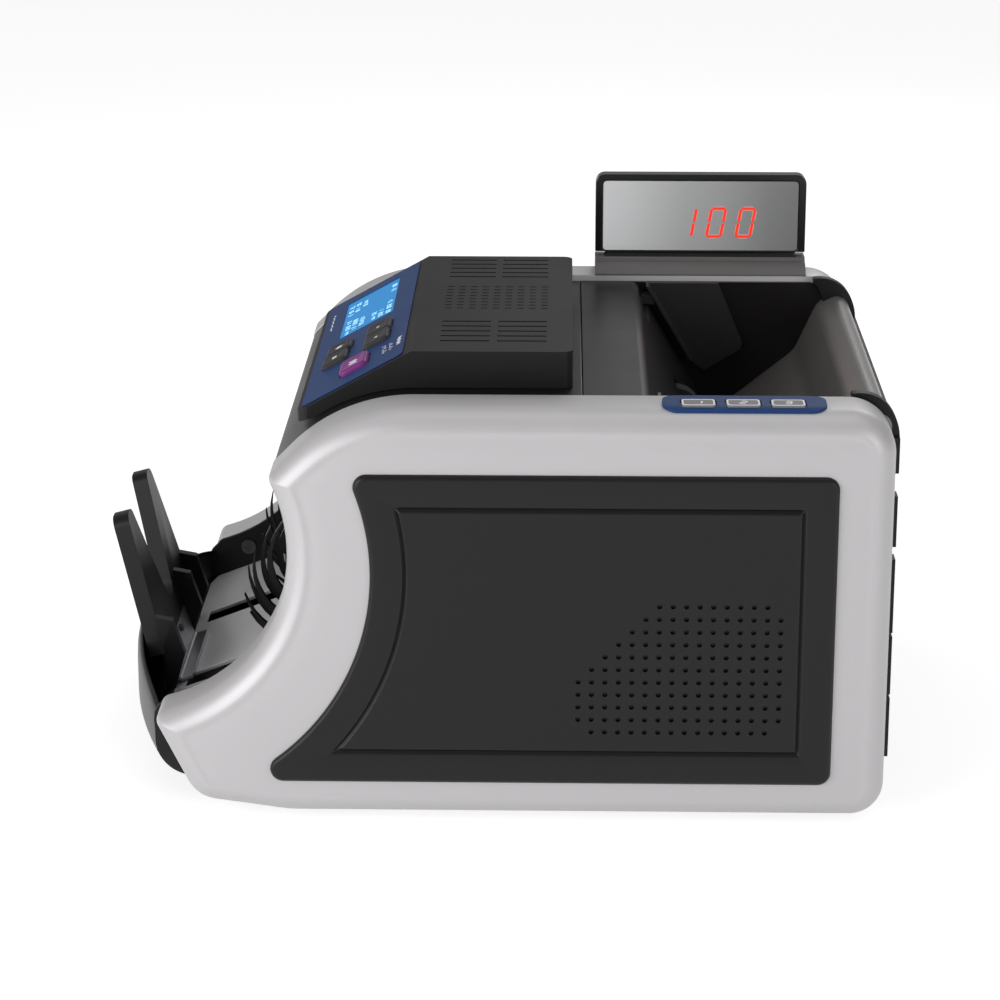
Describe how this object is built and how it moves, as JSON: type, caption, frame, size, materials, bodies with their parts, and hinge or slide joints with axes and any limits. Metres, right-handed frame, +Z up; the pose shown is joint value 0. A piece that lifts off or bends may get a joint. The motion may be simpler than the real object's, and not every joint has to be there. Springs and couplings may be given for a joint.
{
  "type": "banknote counting machine",
  "caption": "Desktop friction banknote counter with rear hopper, control head, swivelling customer display, side keypad and front stacker with stop plate.",
  "frame": {"origin": "on the table, below the middle of the overall footprint", "axes": "+X to the operator's right, +Y from the stacker at the front to the rear, +Z up"},
  "size_m": [0.25, 0.3073, 0.2063],
  "materials": {
    "silver_cover": "satin silver paint over plastic",
    "charcoal": "fine grained moulding",
    "black": "fine grained moulding",
    "gloss_black": "polished, reflecting",
    "head_charcoal": "fine grained moulding",
    "blue_overlay": "satin printed film",
    "lcd": "backlit message window",
    "key_dark": "satin key caps with plain white marks",
    "key_purple": "satin key cap",
    "button_grey": "satin button caps",
    "tinted_window": "smoke tinted, slightly mirrored",
    "lit_red": "lit segments",
    "polished_steel": "polished stainless sheet",
    "sheet_steel": "zinc plated sheet",
    "turned_steel": "turned and ground",
    "screw_steel": "zinc plated screws",
    "bearing": "sintered bronze bushes",
    "rubber": "moulded rubber",
    "nylon": "white nylon",
    "motor": "grey enamel",
    "circuit": "green laminate with parts",
    "core": "lacquered core and winding"
  },
  "bodies": {
    "body": {"base_plate": "sheet_steel", "rubber_feet": "rubber", "side_cover_right": "silver_cover", "side_cover_left": "silver_cover", "side_panel_right": "charcoal", "side_panel_left": "charcoal", "bay_wall_right": "black", "bay_wall_left": "black", "front_fairing": "charcoal", "stacker_floor": "polished_steel", "cover_screws": "screw_steel", "top_cover": "charcoal", "control_housing": "head_charcoal", "control_overlay": "blue_overlay", "lcd_window": "lcd", "key_board": "circuit", "side_keypad": "blue_overlay", "display_bracket": "black", "display_pin": "turned_steel", "hopper_front": "charcoal", "hopper_back": "gloss_black", "rear_cover": "black", "frame_left": "sheet_steel", "frame_right": "sheet_steel", "shaft_bearings": "bearing", "path_plate_upper": "sheet_steel", "path_plate_lower": "sheet_steel", "main_motor": "motor", "drive_belts": "rubber", "main_board": "circuit", "transformer": "core", "power_inlet": "black"},
    "display": {"display_frame": "gloss_black", "display_window": "tinted_window", "display_digits": "lit_red"},
    "menu_key": {"key_menu": "key_dark"},
    "mode_key": {"key_mode": "key_dark"},
    "up_key": {"key_up": "key_dark"},
    "down_key": {"key_down": "key_dark"},
    "start_key": {"key_start": "key_purple"},
    "front_button": {"side_button_front": "button_grey"},
    "middle_button": {"side_button_middle": "button_grey"},
    "rear_button": {"side_button_rear": "button_grey"},
    "rocker": {"switch_rocker": "black"},
    "left_guide": {"guide_left": "black"},
    "right_guide": {"guide_right": "black"},
    "pinion": {"guide_pinion": "nylon"},
    "stop": {"stop_plate": "black", "stop_bracket": "sheet_steel", "stop_screw": "screw_steel"},
    "motor": {"motor_pulley": "turned_steel"},
    "feed": {"feed_shaft": "turned_steel", "feed_rollers": "rubber"},
    "pick": {"pick_shaft": "turned_steel", "pick_rollers": "rubber"},
    "drive": {"drive_roller": "black"},
    "transfer": {"transfer_roller": "turned_steel"},
    "stacker": {"stacker_shaft": "turned_steel", "impeller_left": "black", "impeller_right": "black"}
  },
  "joints": [
    {"name": "display_tilt", "type": "hinge", "parent": "body", "child": "display", "pos_m": [-0.11, 0.087, 0.1685], "axis": [0, 1, 0], "range_deg": [-20, 15]},
    {"name": "menu_press", "type": "slide", "parent": "body", "child": "menu_key", "axis": [0, 0.4848, -0.8746], "range_m": [0, 0.0008], "stiffness_N_per_m": 400, "springref_m": -0.0006},
    {"name": "mode_press", "type": "slide", "parent": "body", "child": "mode_key", "axis": [0, 0.4848, -0.8746], "range_m": [0, 0.0008], "stiffness_N_per_m": 400, "springref_m": -0.0006},
    {"name": "up_press", "type": "slide", "parent": "body", "child": "up_key", "axis": [0, 0.4848, -0.8746], "range_m": [0, 0.0008], "stiffness_N_per_m": 400, "springref_m": -0.0006},
    {"name": "down_press", "type": "slide", "parent": "body", "child": "down_key", "axis": [0, 0.4848, -0.8746], "range_m": [0, 0.0008], "stiffness_N_per_m": 400, "springref_m": -0.0006},
    {"name": "start_press", "type": "slide", "parent": "body", "child": "start_key", "axis": [0, 0.4848, -0.8746], "range_m": [0, 0.0008], "stiffness_N_per_m": 400, "springref_m": -0.0006},
    {"name": "front_button_press", "type": "slide", "parent": "body", "child": "front_button", "axis": [0, 0, -1], "range_m": [0, 0.0004], "stiffness_N_per_m": 400, "springref_m": -0.0006},
    {"name": "middle_button_press", "type": "slide", "parent": "body", "child": "middle_button", "axis": [0, 0, -1], "range_m": [0, 0.0004], "stiffness_N_per_m": 400, "springref_m": -0.0006},
    {"name": "rear_button_press", "type": "slide", "parent": "body", "child": "rear_button", "axis": [0, 0, -1], "range_m": [0, 0.0004], "stiffness_N_per_m": 400, "springref_m": -0.0006},
    {"name": "switch_rock", "type": "hinge", "parent": "body", "child": "rocker", "pos_m": [-0.026, 0.145, 0.036], "axis": [1, 0, 0], "range_deg": [-18, 0]},
    {"name": "guide_slide", "type": "slide", "parent": "body", "child": "left_guide", "axis": [1, 0, 0], "range_m": [0, 0.03]},
    {"name": "guide_follow", "type": "slide", "parent": "body", "child": "right_guide", "axis": [1, 0, 0], "range_m": [-0.03, 0]},
    {"name": "pinion_turn", "type": "hinge", "parent": "body", "child": "pinion", "pos_m": [0, 0.053, 0.1456], "axis": [0, 1, 0], "range_deg": [0, 246]},
    {"name": "stop_adjust", "type": "slide", "parent": "body", "child": "stop", "axis": [0, 0.9336, 0.3584], "range_m": [0, 0.01]},
    {"name": "feed_spin", "type": "hinge", "parent": "body", "child": "feed", "pos_m": [0, 0.06924, 0.09628], "axis": [1, 0, 0], "continuous": true},
    {"name": "pick_spin", "type": "hinge", "parent": "body", "child": "pick", "pos_m": [0, 0.07374, 0.12379], "axis": [1, 0, 0], "continuous": true},
    {"name": "drive_spin", "type": "hinge", "parent": "body", "child": "drive", "pos_m": [0, -0.012, 0.08693], "axis": [1, 0, 0], "continuous": true},
    {"name": "transfer_spin", "type": "hinge", "parent": "body", "child": "transfer", "pos_m": [0, -0.012, 0.07064], "axis": [1, 0, 0], "continuous": true},
    {"name": "stacker_spin", "type": "hinge", "parent": "body", "child": "stacker", "pos_m": [0, -0.062, 0.066], "axis": [1, 0, 0], "continuous": true},
    {"name": "motor_spin", "type": "hinge", "parent": "body", "child": "motor", "pos_m": [0, 0.052, 0.0365], "axis": [1, 0, 0], "continuous": true}
  ],
  "couplings": [
    {"joint": "guide_follow", "follows": "guide_slide", "ratio": -1},
    {"joint": "pinion_turn", "follows": "guide_slide", "rad_per_m": 142.86},
    {"joint": "pick_spin", "follows": "feed_spin", "ratio": 1.25},
    {"joint": "motor_spin", "follows": "feed_spin", "ratio": 1.8333},
    {"joint": "drive_spin", "follows": "feed_spin", "ratio": 1.4286},
    {"joint": "transfer_spin", "follows": "feed_spin", "ratio": -1.4286},
    {"joint": "stacker_spin", "follows": "feed_spin", "ratio": -0.90909}
  ]
}
